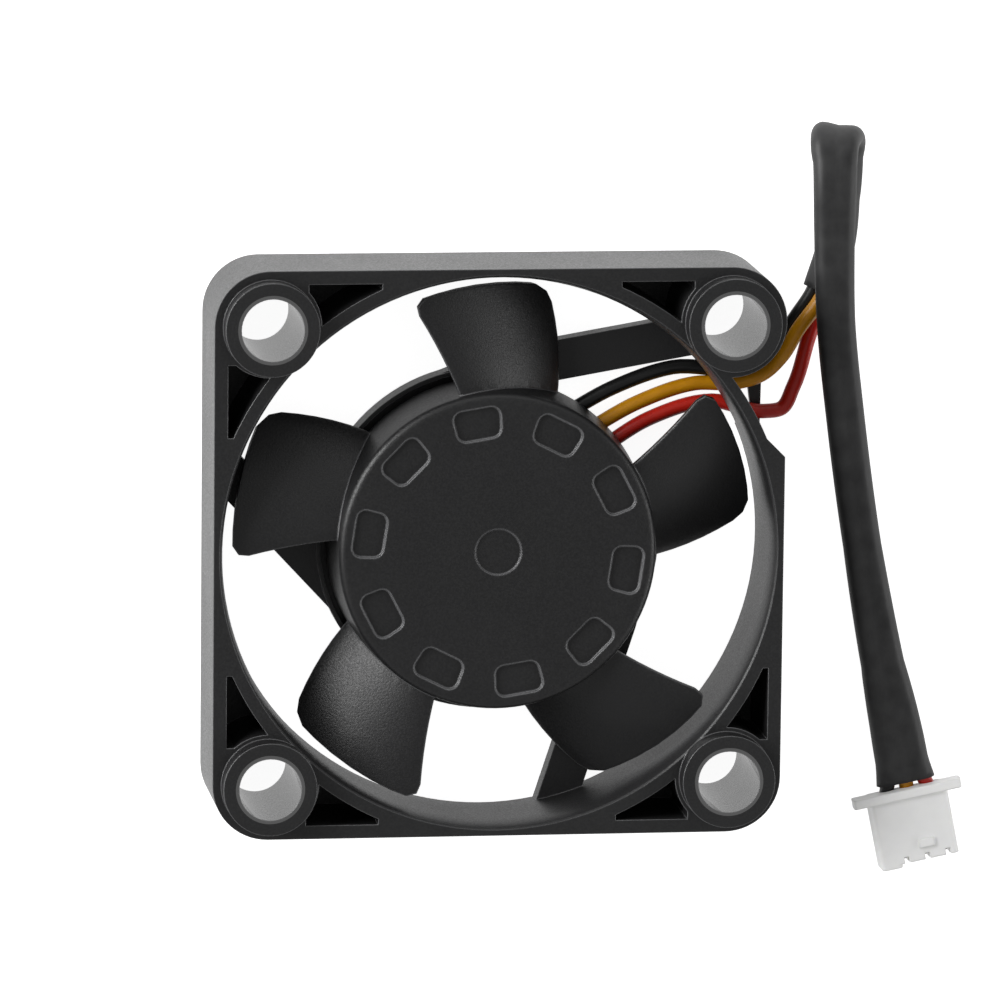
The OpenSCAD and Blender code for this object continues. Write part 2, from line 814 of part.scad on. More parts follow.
module heat_shrink_sleeve() {
    n = len(sleeve_route);
    size = [for (f = sleeve_flat) sleeve_in(f)];
    outer = [for (i = [0:n - 1])
        each ring(sleeve_route, sleeve_sides, i, size[i].x + sleeve_t, size[i].y + sleeve_t)];
    inner = [for (i = [0:n - 1]) each ring(sleeve_route, sleeve_sides, i, size[i].x, size[i].y)];
    last = 8 * (n - 1);
    caps = [for (k = [0:7], end = [0, 1])
        let (a = end * last + k, b = end * last + (k + 1) % 8, c = a + 8 * n, d = b + 8 * n)
        each end == 0 ? [[a, b, d], [a, d, c]] : [[a, d, b], [a, c, d]]];
    color([0.2, 0.2, 0.21])
        polyhedron(points = concat(outer, inner),
            faces = concat(skin(n, 0, false), skin(n, 8 * n, true), caps), convexity = 6);
}

cavity = [1.14, 1.6];      // width and height of each contact cavity
cavity_x = lead_depth + 0.25;
rail = [1.5, 0.25];        // width of the side rail, and how far it stands past the mating end
flange_h = 1.2;
bell = 0.2;                // the wire holes open out this far at the flange

// Rounded block of the plug's body, from x1 to x2 and from y1 to y2
module plug_block(x1, x2, y1, y2, h, r) {
    translate([x1, 0, 0])
        rotate([90, 0, 90])
            linear_extrude(x2 - x1)
                polygon(rounded([[y1, 0], [y2, 0], [y2, h], [y1, h]], r));
}

module connector_housing() {
    left = body_shift - plug_w / 2;
    color([0.94, 0.94, 0.93])
        at_plug()
            difference() {
                union() {
                    translate([0, 0, plug_h - flange_h + 0.2])
                        plug_block(0, flange_t, -flange_w / 2, flange_w / 2, flange_h, 0.2);
                    plug_block(body_x, plug_len, left, left + plug_w, plug_h, 0.35);
                    plug_block(body_x, plug_len + rail.y, left, left + rail.x, plug_h, 0.35);
                    translate([plug_len - 1.5, row_shift - 0.05, plug_h - 0.2]) cube([0.6, 1.1, 0.4]);
                }
                for (i = [0:2]) {
                    translate([-1, plug_y(i), row_z])
                        rotate([0, 90, 0])
                            cylinder(r = lead_r + 0.05, h = cavity_x + 1 + eps, $fn = 32);
                    translate([-eps, plug_y(i), row_z])
                        rotate([0, 90, 0])
                            cylinder(r1 = lead_r + bell, r2 = lead_r, h = flange_t, $fn = 32);
                    translate([cavity_x, plug_y(i) - cavity.x / 2, row_z - cavity.y / 2])
                        cube([plug_len, cavity.x, cavity.y]);
                    translate([plug_len - 0.45, plug_y(i) + 0.24, plug_h - 0.55])
                        cube([1, 0.36, 1]);
                }
            }
}

// Crimp barrel behind a box-shaped socket
module connector_contacts() {
    size = cavity - [2 * clear, 4 * clear];
    color([0.8, 0.78, 0.7])
        at_plug()
            for (i = [0:2])
                translate([cavity_x + 0.1, plug_y(i), row_z])
                    difference() {
                        union() {
                            rotate([0, 90, 0]) cylinder(d = size.x, h = 1.0, $fn = 32);
                            translate([0.6, -size.x / 2, -size.y / 2])
                                cube([plug_len - cavity_x - 0.9, size.x, size.y]);
                        }
                        translate([-1, 0, 0])
                            rotate([0, 90, 0])
                                cylinder(d = conductor_d, h = 1.8, $fn = 24);
                        translate([1.0, -size.x / 2 + 0.15, -size.y / 2 + 0.15])
                            cube([plug_len, size.x - 0.3, size.y - 0.3]);
                    }
}

frame_housing();
rear_label();
bearing_tube();
sleeve_bearing();
thrust_pad();
circuit_board();
hall_sensor();
driver_chip();
capacitor();
resistors();
lower_insulator();
stator_core();
upper_insulator();
coil_windings();
terminal_pins();
solder_joints();
impeller();
rotor_yoke();
ring_magnet();
shaft();
shaft_bush();
oil_slinger();
retaining_clip();
heat_shrink_sleeve();
black_lead();
yellow_lead();
red_lead();
connector_housing();
connector_contacts();
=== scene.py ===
# %% [markdown]
# # A small axial cooling fan
#
# The fan cools the cold end of a 3-D printer's hot end. It has a square moulded
# housing, a five-blade impeller on an external-rotor motor, and a short sleeved
# lead with a three-way plug. The engineering model is already built, and it comes
# in as a fixed frame of solids. This lesson gives it the edges, skins and finishes
# that the plain solids lack, and it never moves a solid from its place.

# %% Load the engineering model
from math import acos, cos, degrees, pi, radians, sin, sqrt

import bmesh
import bpy
from mathutils import Matrix, Vector
from mathutils.geometry import interpolate_bezier


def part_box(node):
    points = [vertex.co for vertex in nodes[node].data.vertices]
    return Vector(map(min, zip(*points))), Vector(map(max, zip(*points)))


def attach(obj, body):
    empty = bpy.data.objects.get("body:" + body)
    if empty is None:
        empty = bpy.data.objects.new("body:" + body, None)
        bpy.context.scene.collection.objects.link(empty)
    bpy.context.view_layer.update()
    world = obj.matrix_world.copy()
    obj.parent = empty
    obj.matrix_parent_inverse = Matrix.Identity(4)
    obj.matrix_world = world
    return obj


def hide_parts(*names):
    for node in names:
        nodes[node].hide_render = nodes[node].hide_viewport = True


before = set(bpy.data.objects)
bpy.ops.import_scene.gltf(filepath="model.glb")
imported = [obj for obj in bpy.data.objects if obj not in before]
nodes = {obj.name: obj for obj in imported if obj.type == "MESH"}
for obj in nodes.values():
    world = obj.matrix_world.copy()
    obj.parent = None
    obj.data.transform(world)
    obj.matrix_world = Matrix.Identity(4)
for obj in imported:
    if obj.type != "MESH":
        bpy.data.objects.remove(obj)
scene = bpy.context.scene
MM = 0.001
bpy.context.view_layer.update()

# %% [markdown]
# ## The camera
#
# The camera hangs almost straight above the fan, tipped about twelve degrees, and
# stands well back with a long lens, so that the square stays square. A camera can
# be aimed with angles, but three directions that stand square to each other are
# easier to read: where the camera looks from, which way is right in its view, and
# which way is up.

# %% Camera
view_from = Vector((-0.135, 0.1699, 0.9762)).normalized()
view_right = Vector((0.9908, 0.0103, 0.1352))
view_up = view_from.cross(view_right).normalized()
view_right = view_up.cross(view_from)
camera_distance = 0.6
camera_pan = (0.001138, 0.002311)

camera = bpy.data.objects.new("camera", bpy.data.cameras.new("camera"))
scene.collection.objects.link(camera)
turn = Matrix((view_right, view_up, view_from)).transposed().to_4x4()
place = view_from * camera_distance + view_right * camera_pan[0] + view_up * camera_pan[1]
camera.matrix_world = Matrix.Translation(place) @ turn
camera.data.lens = 308.8
camera.data.sensor_width = 36
camera.data.clip_start = 0.01
camera.data.clip_end = 20
scene.camera = camera
scene.view_settings.view_transform = "Standard"
print("camera tipped", round(degrees(acos(view_from.z)), 1), "degrees from the vertical")

# %% [markdown]
# ## A short way to write materials
#
# Every finish here is worked out by nodes, and nodes are sums. Clicking them
# together hides the sum, so one small class wraps a socket and gives it the signs
# of arithmetic: `1 - grain * 0.2` adds its own Math nodes.


# %% Values
class Value:
    """A node's output that can be added, subtracted, multiplied and compared like a number."""

    def __init__(self, finish, socket):
        self.finish = finish
        self.socket = socket

    def math(self, operation, first, second):
        return self.finish.node("ShaderNodeMath", {"operation": operation}, {0: first, 1: second})

    def __add__(self, other):
        return self.math("ADD", self, other)

    def __radd__(self, other):
        return self.math("ADD", other, self)

    def __sub__(self, other):
        return self.math("SUBTRACT", self, other)

    def __rsub__(self, other):
        return self.math("SUBTRACT", other, self)

    def __mul__(self, other):
        return self.math("MULTIPLY", self, other)

    def __rmul__(self, other):
        return self.math("MULTIPLY", other, self)

    def __lt__(self, other):
        return self.math("LESS_THAN", self, other)


print("values know the signs + - * <")

# %% [markdown]
# ## Finishes as trees of nodes
#
# A finish is a tree of nodes, for a material or for the room around the fan. Every
# node comes from one method that takes its type, its settings and what goes into
# it. The few nodes that come up again and again, such as noise and bump, get a
# short method of their own, so that each recipe below reads like a list.


# %% Finishes
class Finish:
    """A node tree under construction, for a material or for the world."""

    def __init__(self, owner):
        owner.use_nodes = True
        self.owner = owner
        self.tree = owner.node_tree
        self.tree.nodes.clear()

    def node(self, kind, settings=None, inputs=None, out=0):
        """Adds a node, sets it up, feeds it and gives its output."""
        made = self.tree.nodes.new(kind)
        for key, setting in (settings or {}).items():
            setattr(made, key, setting)
        for key, value in (inputs or {}).items():
            if isinstance(value, Value):
                self.tree.links.new(value.socket, made.inputs[key])
            else:
                made.inputs[key].default_value = value
        return Value(self, made.outputs[out]) if made.outputs else None

    def place(self):
        """Where a point lies in the piece's own space, in metres."""
        return self.node("ShaderNodeTexCoord", out="Object")

    def noise(self, scale, detail, stretch=(1, 1, 1)):
        where = self.node("ShaderNodeMapping", {}, {"Vector": self.place(), "Scale": stretch})
        return self.node("ShaderNodeTexNoise", {}, {"Vector": where, "Scale": scale, "Detail": detail})

    def spread(self, value, low, high, new_low, new_high):
        """Stretches the range low to high onto a new range, and stops at its ends."""
        ends = {"Value": value, "From Min": low, "From Max": high, "To Min": new_low, "To Max": new_high}
        return self.node("ShaderNodeMapRange", {"clamp": True}, ends)

    def blend(self, factor, first, second):
        ends = {0: factor, 6: (*first, 1) if isinstance(first, tuple) else first,
                7: (*second, 1) if isinstance(second, tuple) else second}
        return self.node("ShaderNodeMix", {"data_type": "RGBA"}, ends, out=2)

    def rounding(self, radius):
        """The surface direction as it would be with its edges rounded to a radius."""
        return self.node("ShaderNodeBevel", {"samples": 6}, {"Radius": radius})

    def edge(self, rounded):
        """Near 1 along edges and 0 on open faces: there the rounded direction leans away."""
        true = self.node("ShaderNodeNewGeometry", out="Normal")
        product = {"operation": "DOT_PRODUCT"}
        along = self.node("ShaderNodeVectorMath", product, {0: rounded, 1: true}, out="Value")
        return self.spread(1 - along, 0.01, 0.2, 0.0, 1.0)

    def bump(self, height, strength, distance, rounded=None):
        inputs = {"Height": height, "Strength": strength, "Distance": distance}
        if rounded:
            inputs["Normal"] = rounded
        return self.node("ShaderNodeBump", {}, inputs)

    def surface(self, **inputs):
        """Closes the tree with one shader and gives the finished material."""
        sockets = {key.replace("_", " "): value for key, value in inputs.items()}
        shader = self.node("ShaderNodeBsdfPrincipled", {}, sockets)
        self.node("ShaderNodeOutputMaterial", {}, {"Surface": shader})
        return self.owner


def new_finish(name):
    return Finish(bpy.data.materials.new(name))


print("materials can be written as sums")

# %% [markdown]
# ## The moulded black plastic
#
# The housing and the impeller are one shot each of glass-filled polyester, dyed
# black. The mould is spark-eroded, so the skin is covered in a fine even grain that
# breaks highlights into glitter, and flow leaves broad patches that are a little
# duller. The core pins that form the screw holes are polished, so the hole walls
# are smooth and carry a clear gloss, which a coat layer gives. No moulded edge is
# knife-sharp, and the thin bright line along a rounded edge is what makes plastic
# look real. Rounding every edge of the mesh would be slow and would tear at narrow
# corners, so a Bevel node rounds the shading instead, and the same node finds the
# edges, where the black is painted paler as a painted highlight that strengthens
# that bright line. The painted highlight is strongest on the hub's outer face.


# %% Moulded plastic
hole_inset = 3.85 * MM  # from the housing's side to the axis of a screw hole
hole_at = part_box("frame_housing")[1].x - hole_inset
pin_reach = 2.4 * MM  # a little past the wall of a hole
face_height = max(vertex.co.z for vertex in nodes["impeller"].data.vertices)
grain_size = 0.13 * MM
# Painted highlight: how strongly the edges, and the hub's outer face most of all, are painted paler to
# stand in for the bright line of light along them.
edge_highlight = 0.8
face_highlight = 1.7
highlight_tone = 12  # how many times paler than the moulding the painted edge highlight can get


def level_distance(skin, place):
    """How far a place is from the vertical axis."""
    level = skin.node("ShaderNodeVectorMath", {"operation": "MULTIPLY"}, {0: place, 1: (1, 1, 0)})
    return skin.node("ShaderNodeVectorMath", {"operation": "LENGTH"}, {0: level}, out="Value")


def pin_polish(skin):
    """1 near the axis of a screw hole, and 0 elsewhere."""
    xyz = skin.node("ShaderNodeVectorMath", {"operation": "ABSOLUTE"}, {0: skin.place()})
    apart = skin.node("ShaderNodeVectorMath", {"operation": "SUBTRACT"}, {0: xyz, 1: (hole_at, hole_at, 0)})
    return level_distance(skin, apart) < pin_reach


def hub_highlight_share(skin):
    """How strong the painted edge highlight is: full on the hub's outer face, and half as much at its
    centre and on the blades.
    """
    height = skin.node("ShaderNodeSeparateXYZ", {}, {0: skin.place()}, out=2)
    distance = level_distance(skin, skin.place())
    outermost = skin.spread(height, face_height - 0.9 * MM, face_height - 0.5 * MM, 0.5, 1.0)
    off_centre = skin.spread(distance, 3 * MM, 5 * MM, 0.5, 1.0)
    return outermost * off_centre * face_highlight


def moulded_plastic(name, dark, pale, roughness, grain_depth, edge_radius, polish=None, highlight_strength=None):
    """Grained black plastic with a painted highlight along its edges; polish finds its smooth places and
    highlight_strength where the painted highlight is strongest.
    """
    skin = new_finish(name)
    rounded = skin.rounding(edge_radius)
    grain = skin.noise(1 / grain_size, 3.0)
    patches = skin.noise(220, 2.0)
    edge_mask = skin.edge(rounded)
    speck = skin.spread(grain, 0.35, 0.65, 0.0, 1.0)
    smooth = polish(skin) if polish else 0.0
    # Painted highlight: along edges the black is blended towards a colour many times paler.
    painted_highlight = edge_mask * (highlight_strength(skin) if highlight_strength else edge_highlight)
    body = skin.blend(speck * 0.5 + patches * 0.5, dark, pale)
    return skin.surface(
        Base_Color=skin.blend(painted_highlight, body, tuple(highlight_tone * c for c in pale)),
        Roughness=roughness + (speck - 0.5) * 0.14 + (patches - 0.5) * 0.08 - edge_mask * 0.1,
        Normal=skin.bump(grain, 0.5, grain_depth, rounded),
        Coat_Weight=smooth,
        Coat_Roughness=0.08,
        Coat_IOR=3.1,
    )


housing_black = moulded_plastic("housing black", (0.0105, 0.0105, 0.011), (0.0185, 0.0185, 0.019),
                                0.37, 0.03 * MM, 0.12 * MM, polish=pin_polish)
impeller_black = moulded_plastic("impeller black", (0.0085, 0.0085, 0.009), (0.0145, 0.0145, 0.015),
                                 0.4, 0.035 * MM, 0.22 * MM, highlight_strength=hub_highlight_share)
print("finishes:", housing_black.name, "and", impeller_black.name)

# %% [markdown]
# ## The route of the lead
#
# Three leads leave the motor through a notch in the housing and enter a thin
# heat-shrink sleeve, which runs away from the fan, folds back over itself, and ends
# flat at the plug. The route is the centre line of the sleeve. A smooth line
# through its points is drawn as Bezier pieces whose slopes allow for points that
# are not evenly spaced, because an even rule would swing wide at the fold.

# %% Centre line of the sleeve
sleeve_route = [Vector(point) * MM for point in [
    (23.5, 17.15, 1.45), (24.45, 20.4, 1.45), (24.72, 23.5, 1.45), (24.65, 26.4, 1.5),
    (24.5, 27.6, 1.95), (24.1, 28.1, 2.85), (23.75, 27.65, 3.85), (23.7, 26.4, 4.35),
    (23.72, 21.5, 4.4), (23.95, 15.5, 4.25), (24.9, 8.5, 3.3), (26.5, -0.8, 1.9),
    (28.2, -9.4, 1.45), (29.2, -13.8, 1.4), (30.05, -17.9, 1.35)]]
sleeve_flat = [0, 0, 0, 0.2, 0.45, 0.55, 0.35, 0.15, 0.05, 0, 0, 0, 0.15, 0.6, 1.2]
sleeve_turn = [0, 0, 0, -4, -14, -28, -32, -33, -34, -34, -34, -35, -35, -35, -35]
steps = 8


def smooth_line(points, steps):
    """Points on a smooth line, with slopes that allow for uneven gaps."""
    gaps = [(b - a).length for a, b in zip(points, points[1:])]
    legs = [(b - a) / gap for a, b, gap in zip(points, points[1:], gaps)]
    inner = [(u * h + v * g) / (g + h) for u, v, g, h in zip(legs, legs[1:], gaps, gaps[1:])]
    slopes = [legs[0], *inner, legs[-1]]
    line = []
    for i, gap in enumerate(gaps):
        reach = gap / 3
        ends = (points[i], points[i] + slopes[i] * reach,
                points[i + 1] - slopes[i + 1] * reach, points[i + 1])
        line += interpolate_bezier(*ends, steps + 1)[:-1]
    return line + [points[-1]]


def between(values, steps):
    """The same number of values as smooth_line gives points."""
    pairs = zip(values, values[1:])
    return [a + (b - a) * i / steps for a, b in pairs for i in range(steps)] + [values[-1]]


sleeve_line = smooth_line(sleeve_route, steps)
flatness = between(sleeve_flat, steps)
turns = between(sleeve_turn, steps)
sleeve_length = sum((b - a).length for a, b in zip(sleeve_line, sleeve_line[1:]))
print("sleeve:", round(sleeve_length / MM, 1), "mm along", len(sleeve_line), "points")

# %% [markdown]
# ## Frames along a line
#
# To sweep a section along a line, each point needs a direction forwards, one
# sideways and one upwards. Carrying the sideways direction from point to point and
# straightening it each time keeps the tube from twisting. A chosen turn is then
# added where the real sleeve rolls over to lie flat.


# %% Directions along a line
def headings(line):
    ahead = [(b - a).normalized() for a, b in zip(line, line[1:])]
    return [ahead[0], *[(a + b).normalized() for a, b in zip(ahead, ahead[1:])], ahead[-1]]


def axes(line, side, turns):
    found = []
    for forward, turn in zip(headings(line), turns):
        side = (side - forward * side.dot(forward)).normalized()
        up = forward.cross(side)
        a = radians(turn)
        found.append((side * cos(a) + up * sin(a), up * cos(a) - side * sin(a)))
    return found


sleeve_axes = axes(sleeve_line, Vector((1, 0, 0)), turns)
print("at the plug the sleeve lies", round(degrees(sleeve_axes[-1][0].z), 1), "degrees off level")

# %% [markdown]
# ## The leads inside the sleeve
#
# Each lead is tinned copper in a soft plastic coat just over a millimetre thick.
# In the round part the three nest in a triangle, and where the sleeve is flat they
# lie side by side. Their places come first, because the sleeve is shrunk on them.

# %% Nest of the leads
lead_d = 1.04 * MM
lead_r = lead_d / 2
lead_row = {"black": -1, "yellow": 0, "red": 1}  # left, middle and right at the plug
clear = 1.045  # from axis to axis of two neighbours, in lead diameters


def lead_place(lead, flat):
    """Sideways and upward place of a lead in the sleeve; 0 is a full nest and 1 a flat row."""
    nest = 1 - min(flat, 1)
    apart = sqrt(clear ** 2 - (0.9 * nest) ** 2) + max(flat - 1, 0)
    rise = (-0.6 if lead == "yellow" else 0.3) * nest
    return lead_row[lead] * apart * lead_d, rise * lead_d


def in_sleeve(lead):
    line = []
    for point, flat, (side, up) in zip(sleeve_line, flatness, sleeve_axes):
        across, rise = lead_place(lead, flat)
        line.append(point + side * across + up * rise)
    return line


print("leads in a full nest:", [[round(x / MM, 2) for x in lead_place(lead, 0)] for lead in lead_row])

# %% [markdown]
# ## The leads from board to plug
#
# Each lead starts at the edge of the motor's board, passes under the mounting post
# and through the notch, and joins the others at the sleeve's mouth. At the far end
# it runs straight into its cavity in the plug. The loose part is a smooth line
# through a few points that keep the leads apart.

# %% Lines of the leads
board_r = 9.36
board_gap = 0.4
lead_height = 1.25
lead_angle = radians(29)
lead_offsets = {"black": 4.84, "yellow": 3.03, "red": 1.44}
inner_routes = {
    "black": [(8.8, 10.4, 1.25), (13.0, 11.8, 1.25), (17.6, 11.8, 1.1), (20.3, 13.3, 1.05),
              (21.75, 15.3, 1.05)],
    "yellow": [(10.7, 9.4, 1.25), (14.6, 10.65, 1.25), (17.6, 10.68, 1.2), (19.3, 11.25, 1.4),
               (20.6, 12.6, 1.9), (21.66, 14.45, 2.15)],
    "red": [(11.4, 8.2, 1.25), (15.8, 9.4, 1.25), (19.5, 8.6, 1.15), (20.8, 8.8, 1.1),
            (21.6, 10.3, 1.1), (22.85, 14.4, 1.1)],
}
contact_pitch = 1.5
middle_contact = 0.2
contact_height = 1.3
plug_place = Vector((29.92, -18.3, 0)) * MM
plug_angle = radians(-78.5)
plug_axis = Vector((cos(plug_angle), sin(plug_angle), 0))
plug_side = Vector((-sin(plug_angle), cos(plug_angle), 0))


def at_plug(along, across, height):
    return plug_place + plug_axis * along * MM + plug_side * across * MM + Vector((0, 0, height * MM))


def lead_line(lead, row):
    """From the board through the notch and the sleeve to the lead's contact.

    The loose line is drawn on into the sleeve and cut back to its mouth, so that it
    enters without a kink.
    """
    offset = lead_offsets[lead]
    reach = sqrt((board_r + board_gap) ** 2 - offset ** 2)
    start = Vector((reach * cos(lead_angle) - offset * sin(lead_angle),
                    reach * sin(lead_angle) + offset * cos(lead_angle), lead_height)) * MM
    loose = [start, *[Vector(point) * MM for point in inner_routes[lead]]]
    gathered = in_sleeve(lead)
    ends = [at_plug(along, row, contact_height) for along in (0.3, 1.5)]
    return smooth_line([*loose, gathered[0], gathered[2]], steps)[:-steps - 1] + gathered + ends


leads = {lead: lead_line(lead, middle_contact + contact_pitch * i) for lead, i in lead_row.items()}
for lead, line in leads.items():
    print(lead, "lead:", round(sum((b - a).length for a, b in zip(line, line[1:])) / MM, 1), "mm")

# %% [markdown]
# ## Tubes as meshes
#
# Blender can bevel a curve into a tube, but its section is then the same all along.
# The sleeve changes its section, so rings of points are joined into a mesh by hand,
# and the leads use the same helper with a plain circle.


# %% Rings into a tube
def link(name, data, body, *replaced):
    """Adds a mesh to the scene, on its body and in place of the solids it replaces."""
    piece = bpy.data.objects.new(name, data)
    scene.collection.objects.link(piece)
    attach(piece, body)
    if replaced:
        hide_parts(*replaced)
    return piece


def tube_mesh(name, rings, capped=True):
    """Joins rings of points into a tube, closed at both ends if capped."""
    count = len(rings[0])
    points = [point for ring in rings for point in ring]
    faces = []
    for i in range(len(rings) - 1):
        for k in range(count):
            a = i * count + k
            b = i * count + (k + 1) % count
            faces.append((a, b, b + count, a + count))
    if capped:
        faces.append(tuple(reversed(range(count))))
        faces.append(tuple(range(len(points) - count, len(points))))
    data = bpy.data.meshes.new(name)
    data.from_pydata(points, [], faces)
    data.validate()
    data.shade_smooth()
    return data


def circle_rings(line, radius, count=18):
    rings = []
    for point, (side, up) in zip(line, axes(line, Vector((0, -1, 0)), [0] * len(line))):
        angles = [2 * pi * k / count for k in range(count)]
        rings.append([point + (side * cos(a) + up * sin(a)) * radius for a in angles])
    return rings


print("tubes can be made")

# %% [markdown]
# ## Insulation and heat-shrink
#
# Lead insulation is glossy soft plastic, drawn through a die, so it carries faint
# lengthwise lines. Heat-shrink is duller and slightly mottled, because it has been
# stretched and cooked. Both are built from the same recipe with other numbers.


# %% Drawn plastic
def drawn_plastic(name, dark, pale, roughness, line_depth):
    skin = new_finish(name)
    lines = skin.noise(2600, 2.0, stretch=(1, 0.12, 1))
    mottle = skin.noise(700, 3.0)
    uneven = skin.spread(mottle, 0.3, 0.7, 0.0, 1.0)
    return skin.surface(
        Base_Color=skin.blend(uneven, dark, pale),
        Roughness=roughness + (lines - 0.5) * 0.16 + (mottle - 0.5) * 0.12,
        Normal=skin.bump(lines * 0.5 + mottle * 0.7, 0.35, line_depth),
        Specular_IOR_Level=0.45,
    )


sleeve_skin = drawn_plastic("heat shrink", (0.016, 0.016, 0.0165), (0.032, 0.032, 0.0325), 0.5, 0.06 * MM)
coats = {
    "black": ((0.008, 0.008, 0.008), (0.014, 0.014, 0.014)),
    "yellow": ((0.66, 0.27, 0.003), (0.78, 0.34, 0.006)),
    "red": ((0.54, 0.014, 0.008), (0.66, 0.026, 0.014)),
}
lead_skins = {lead: drawn_plastic(lead + " insulation", dark, pale, 0.33, 0.01 * MM)
              for lead, (dark, pale) in coats.items()}
print("finishes:", sleeve_skin.name, *[skin.name for skin in lead_skins.values()])

# %% [markdown]
# ## The leads
#
# Each lead becomes one tube along its line, in place of the plain solid that stands
# for it in the engineering model.

# %% Leads
for lead, line in leads.items():
    data = tube_mesh(lead + " lead tube", circle_rings(line, lead_r))
    data.materials.append(lead_skins[lead])
    piece = link(lead + "_insulation", data, "housing", lead + "_lead")
    lead + "_insulation"

# %% [markdown]
# ## The sleeve
#
# A shrunk sleeve is a tight skin round three leads, so its section is the outline of
# a band stretched round three discs. Walking round the band at even steps gives the
# ring at each point. Between two leads the band is free, and there it sinks a little.

# %% Sleeve
wall = 0.18 * MM
slack = 0.10 * MM
around = 40  # points in a ring
directions = 180  # in which the band's outline is sought
sag_share = 0.2
tucked = 8  # rings of the inner skin that can be seen from each mouth


def band(discs, radius):
    """Outline of a band round equal discs, as points at even steps."""
    outline = []
    for k in range(directions):
        a = 2 * pi * k / directions
        normal = Vector((cos(a), sin(a)))
        far = max(discs, key=lambda disc: disc.dot(normal))
        outline.append(far + normal * radius)
    outline.append(outline[0])
    lengths = [(b - a).length for a, b in zip(outline, outline[1:])]
    step = sum(lengths) / around
    ring = []
    walked = 0.0
    for a, b, length in zip(outline, outline[1:], lengths):
        while len(ring) * step < walked + length - 1e-12 and len(ring) < around:
            ring.append(a + (b - a) * ((len(ring) * step - walked) / length))
        walked += length
    return ring


def sag(point, discs, radius):
    """Moves a free point of the band towards the middle."""
    free = min((point - disc).length for disc in discs) - radius
    return point * (1 - sag_share * free / max(point.length, 1e-6))


def sleeve_rings(radius):
    rings = []
    for point, flat, (side, up) in zip(sleeve_line, flatness, sleeve_axes):
        discs = [Vector(lead_place(lead, flat)) for lead in leads]
        ring = [sag(p, discs, radius) for p in band(discs, radius)]
        rings.append([point + side * p.x + up * p.y for p in ring])
    return rings


outer_rings = sleeve_rings(lead_r + slack + wall)
inner_rings = sleeve_rings(lead_r + slack)
data = tube_mesh("sleeve tube", [inner_rings[tucked], *inner_rings[:tucked][::-1], *outer_rings,
                                 *inner_rings[-tucked:][::-1]], capped=False)
data.materials.append(sleeve_skin)
sleeve = link("sleeve", data, "housing", "heat_shrink_sleeve")
print("sleeve tube:", len(data.vertices), "points")

# %% [markdown]
# ## Even shading for moulded pieces
#
# The housing's and the impeller's shapes are right already. Their surfaces come in
# as loose triangles, which would show as facets on the blades, so each surface is
# copied, its points are joined, and it is shaded smooth except where it turns
# sharply. Modelling them again would risk pieces that no longer fit their solids.


# %% Smooth copies
def smooth_copy(name, node, body, finish):
    source = nodes[node].data
    data = bpy.data.meshes.new(name + " skin")
    data.from_pydata([v.co for v in source.vertices], [], [tuple(p.vertices) for p in source.polygons])
    work = bmesh.new()
    work.from_mesh(data)
    bmesh.ops.remove_doubles(work, verts=work.verts, dist=0.002 * MM)
    work.to_mesh(data)
    work.free()
    data.materials.append(finish)
    data.shade_smooth()
    data.set_sharp_from_angle(angle=radians(28))
    piece = link(name, data, body, node)
    return piece


housing = smooth_copy("fan_frame", "frame_housing", "housing", housing_black)
impeller = smooth_copy("fan_wheel", "impeller", "rotor", impeller_black)
print("smooth:", housing.name, len(housing.data.polygons), "faces,", impeller.name)

# %% [markdown]
# ## The plug
#
# The plug is a natural nylon moulding with three cavities, each with a tinned
# contact inside. Nylon is milky: light goes a little way in, which softens its
# corners. A touch of subsurface scattering does that, and the edges are rounded in
# the shading, like the housing's.


# %% Plug finish
def milky_nylon(name):
    skin = new_finish(name)
    rounded = skin.rounding(0.2 * MM)
    cloud = skin.noise(900, 3.0)
    fine = skin.noise(6000, 2.0)
    uneven = skin.spread(cloud, 0.3, 0.7, 0.0, 1.0)
    return skin.surface(
        Base_Color=skin.blend(uneven, (0.93, 0.93, 0.92), (0.97, 0.97, 0.96)),
        Roughness=0.36 + (fine - 0.5) * 0.14,
        Normal=skin.bump(fine, 0.2, 0.01 * MM, rounded),
        Subsurface_Weight=0.15,
        Subsurface_Radius=(0.6 * MM, 0.6 * MM, 0.5 * MM),
        Subsurface_Scale=1.0,
    )


plug_white = milky_nylon("plug nylon")
plug = smooth_copy("plug_shell", "connector_housing", "housing", plug_white)
print("plug:", plug.name)

# %% [markdown]
# ## Metals, films and boards
#
# The pieces inside the motor are seen only through gaps or when the model is taken
# apart, but each still gets its own finish. Turned brass and ground steel show fine
# lines round their axis, a rolled cup shows them one way, and chips and films are
# dull with a little grain. One recipe for metals, one for dull solids and one for
# wound wire cover all.


# %% Recipes for the inner pieces
def worked_metal(name, dark, pale, roughness, stretch):
    skin = new_finish(name)
    lines = skin.noise(3000, 3.0, stretch=stretch)
    stain = skin.noise(300, 2.0)
    tone = skin.spread(stain, 0.3, 0.7, 0.0, 1.0)
    return skin.surface(
        Base_Color=skin.blend(tone, dark, pale),
        Metallic=1.0,
        Roughness=roughness + (lines - 0.5) * 0.2 + (stain - 0.5) * 0.12,
        Normal=skin.bump(lines, 0.25, 0.01 * MM),
    )


def dull_solid(name, dark, pale, roughness, grain, depth):
    skin = new_finish(name)
    fine = skin.noise(1 / grain, 3.0)
    cloud = skin.noise(500, 2.0)
    tone = skin.spread(fine * 0.5 + cloud * 0.5, 0.35, 0.65, 0.0, 1.0)
    return skin.surface(
        Base_Color=skin.blend(tone, dark, pale),
        Roughness=roughness + (fine - 0.5) * 0.15,
        Normal=skin.bump(fine, 0.3, depth),
    )


